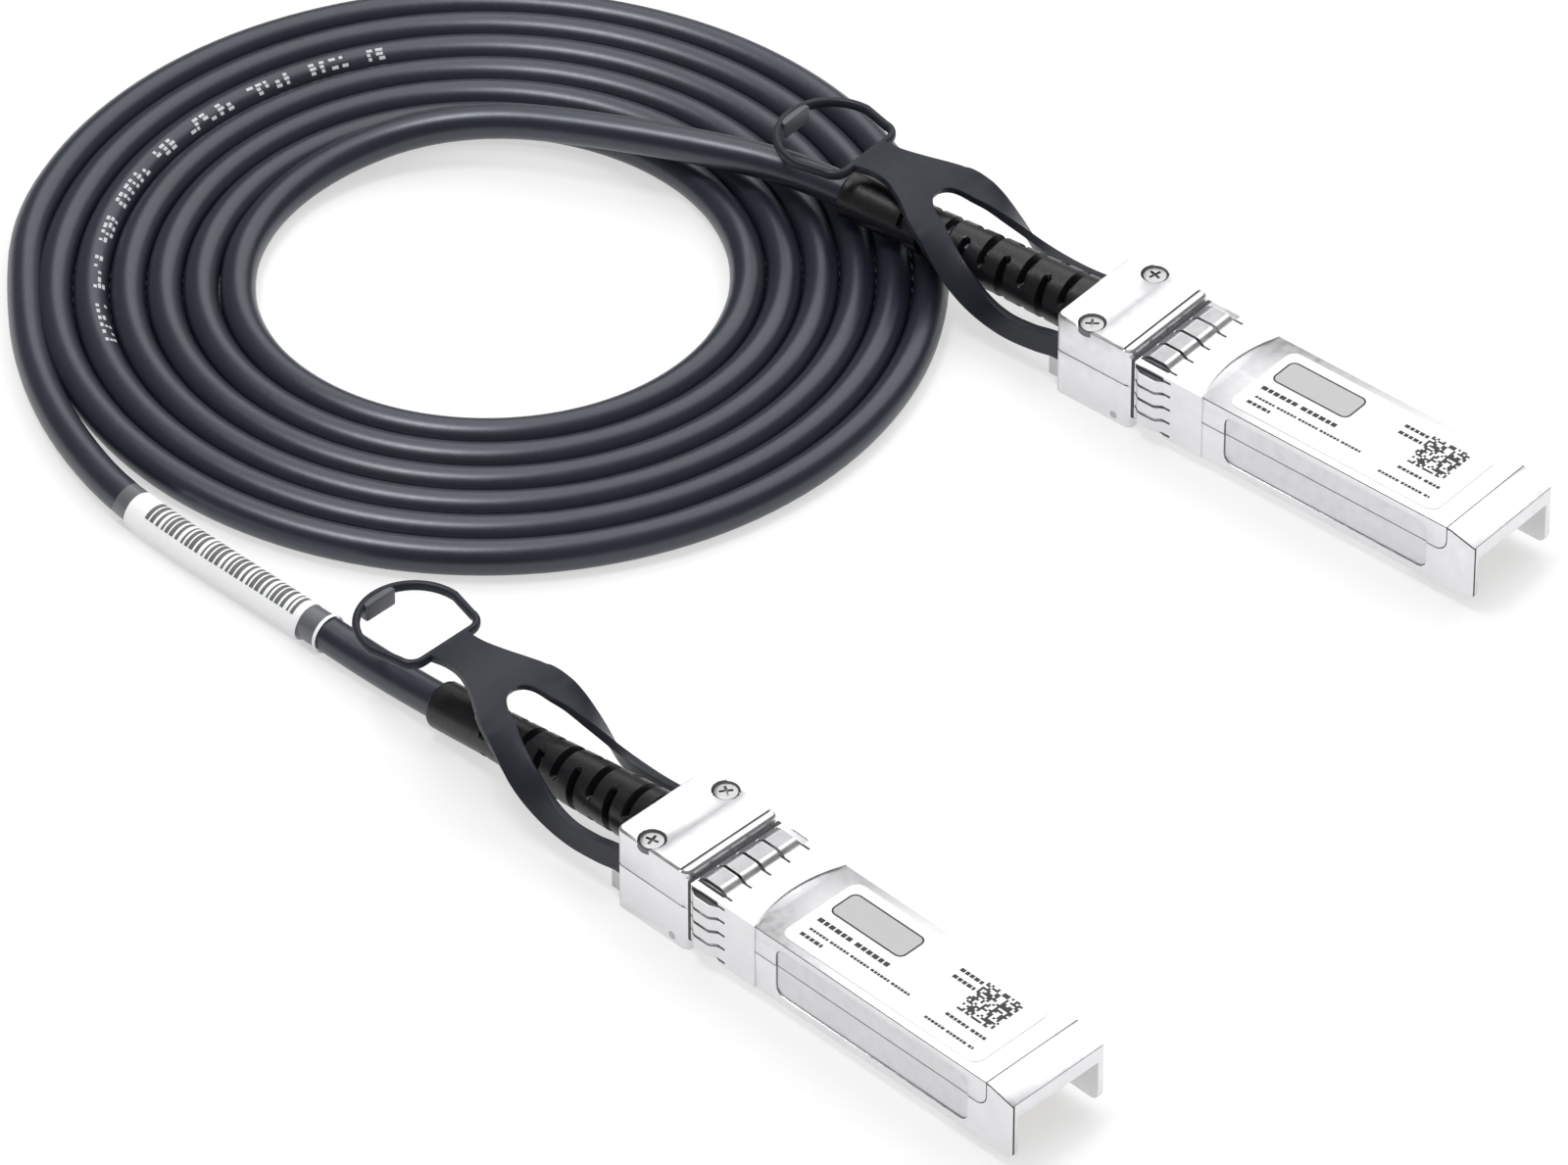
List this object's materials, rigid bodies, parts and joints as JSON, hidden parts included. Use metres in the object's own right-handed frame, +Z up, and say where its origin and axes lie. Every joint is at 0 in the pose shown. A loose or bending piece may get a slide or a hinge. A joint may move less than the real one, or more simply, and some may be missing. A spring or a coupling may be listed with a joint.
{
  "type": "direct attach copper cable",
  "caption": "Coiled twin-axial data cable with a metal pluggable transceiver end and a black pull tab at each end.",
  "frame": {"origin": "on the floor, under the middle of plug A's back shell", "axes": "+X along plug A towards its nose, +Z up, +Y towards plug B"},
  "size_m": [0.1926, 0.1119, 0.013],
  "materials": {
    "cast_zinc": "satin nickel plate over zinc casting",
    "spring_steel": "bright rolled sheet",
    "screw_steel": "satin",
    "circuit_board": "solder mask",
    "gold_plating": "bright gold plate",
    "chip_epoxy": "matte",
    "capacitor_ceramic": "matte",
    "core_insulation": "matte",
    "crimp_brass": "satin",
    "cable_jacket": "soft PVC, fine satin",
    "boot_rubber": "moulded, matte",
    "pin_steel": "ground",
    "latch_zinc": "satin",
    "slider_steel": "rolled sheet",
    "tab_nylon": "moulded, satin",
    "label_film": "matte printed film",
    "clear_sleeve": "clear heat-shrink over a printed label"
  },
  "bodies": {
    "cable": {"base_housing_a": "cast_zinc", "top_cover_a": "cast_zinc", "emi_collar_a": "spring_steel", "shell_screws_a": "screw_steel", "paddle_card_a": "circuit_board", "card_contacts_a": "gold_plating", "memory_chip_a": "chip_epoxy", "card_capacitors_a": "capacitor_ceramic", "cable_cores_a": "core_insulation", "crimp_ferrule_a": "crimp_brass", "cable_end_a": "cable_jacket", "strain_relief_a": "boot_rubber", "latch_pin_a": "pin_steel", "return_springs_a": "spring_steel", "cover_label_a": "label_film", "base_housing_b": "cast_zinc", "top_cover_b": "cast_zinc", "emi_collar_b": "spring_steel", "shell_screws_b": "screw_steel", "paddle_card_b": "circuit_board", "card_contacts_b": "gold_plating", "memory_chip_b": "chip_epoxy", "card_capacitors_b": "capacitor_ceramic", "cable_cores_b": "core_insulation", "crimp_ferrule_b": "crimp_brass", "cable_end_b": "cable_jacket", "strain_relief_b": "boot_rubber", "latch_pin_b": "pin_steel", "return_springs_b": "spring_steel", "cover_label_b": "label_film", "cable_lead_a": "cable_jacket", "cable_lead_b": "cable_jacket", "cable_coil": "cable_jacket", "label_sleeve": "clear_sleeve"},
    "pull_a": {"latch_slider_a": "slider_steel", "pull_tab_a": "tab_nylon"},
    "rocker_a": {"latch_rocker_a": "latch_zinc"},
    "pull_b": {"latch_slider_b": "slider_steel", "pull_tab_b": "tab_nylon"},
    "rocker_b": {"latch_rocker_b": "latch_zinc"}
  },
  "joints": [
    {"name": "pull_tab_a_slide", "type": "slide", "parent": "cable", "child": "pull_a", "axis": [-1, 0, 0], "range_m": [0, 0.0013], "stiffness_N_per_m": 400, "springref_m": -0.001, "deforming": ["return_springs_a"]},
    {"name": "latch_rocker_a_turn", "type": "hinge", "parent": "cable", "child": "rocker_a", "pos_m": [0.00302, 0, 0.0009], "axis": [0, -1, 0], "range_deg": [0, 5.5]},
    {"name": "pull_tab_b_slide", "type": "slide", "parent": "cable", "child": "pull_b", "axis": [-0.9963, -0.0854, 0], "range_m": [0, 0.0013], "stiffness_N_per_m": 400, "springref_m": -0.001, "deforming": ["return_springs_b"]},
    {"name": "latch_rocker_b_turn", "type": "hinge", "parent": "cable", "child": "rocker_b", "pos_m": [-0.02359, 0.0936, 0.0009], "axis": [0.0854, -0.9963, 0], "range_deg": [0, 5.5]}
  ],
  "couplings": [
    {"joint": "latch_rocker_a_turn", "follows": "pull_tab_a_slide", "rad_per_m": 73.841},
    {"joint": "latch_rocker_b_turn", "follows": "pull_tab_b_slide", "rad_per_m": 73.841}
  ]
}
